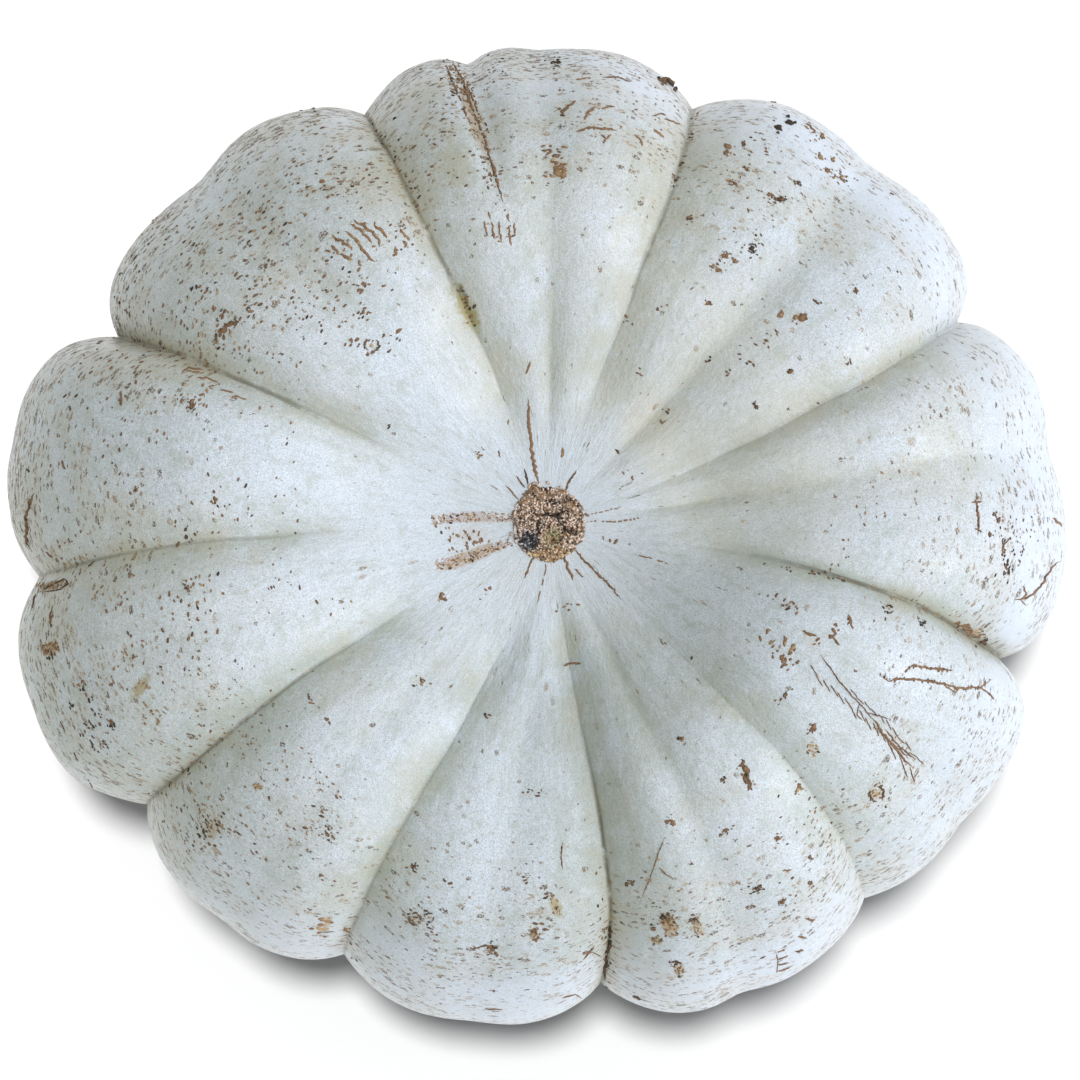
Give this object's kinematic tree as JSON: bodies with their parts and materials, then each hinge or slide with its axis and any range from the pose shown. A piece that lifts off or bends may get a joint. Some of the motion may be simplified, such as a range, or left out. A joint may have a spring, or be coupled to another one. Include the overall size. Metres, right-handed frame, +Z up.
{
  "type": "white ribbed pumpkin",
  "caption": "Flat white pumpkin with deep rounded ribs, a corky blossom scar on top and a cut stem stub hidden in the hollow underneath; it lies on its stem side.",
  "frame": {"origin": "on the surface the pumpkin rests on, under the middle of its outline", "axes": "+Z up out of the blossom scar, +X along the widest way across, +Y across it"},
  "size_m": [0.3206, 0.2966, 0.1668],
  "materials": {
    "rind": "waxy satin rind, cool white with greenish grey furrows and small brown corky specks",
    "cork": "dry matte cork, tan to brown"
  },
  "bodies": {
    "root": {"fruit": "rind", "stem": "cork"}
  },
  "joints": []
}
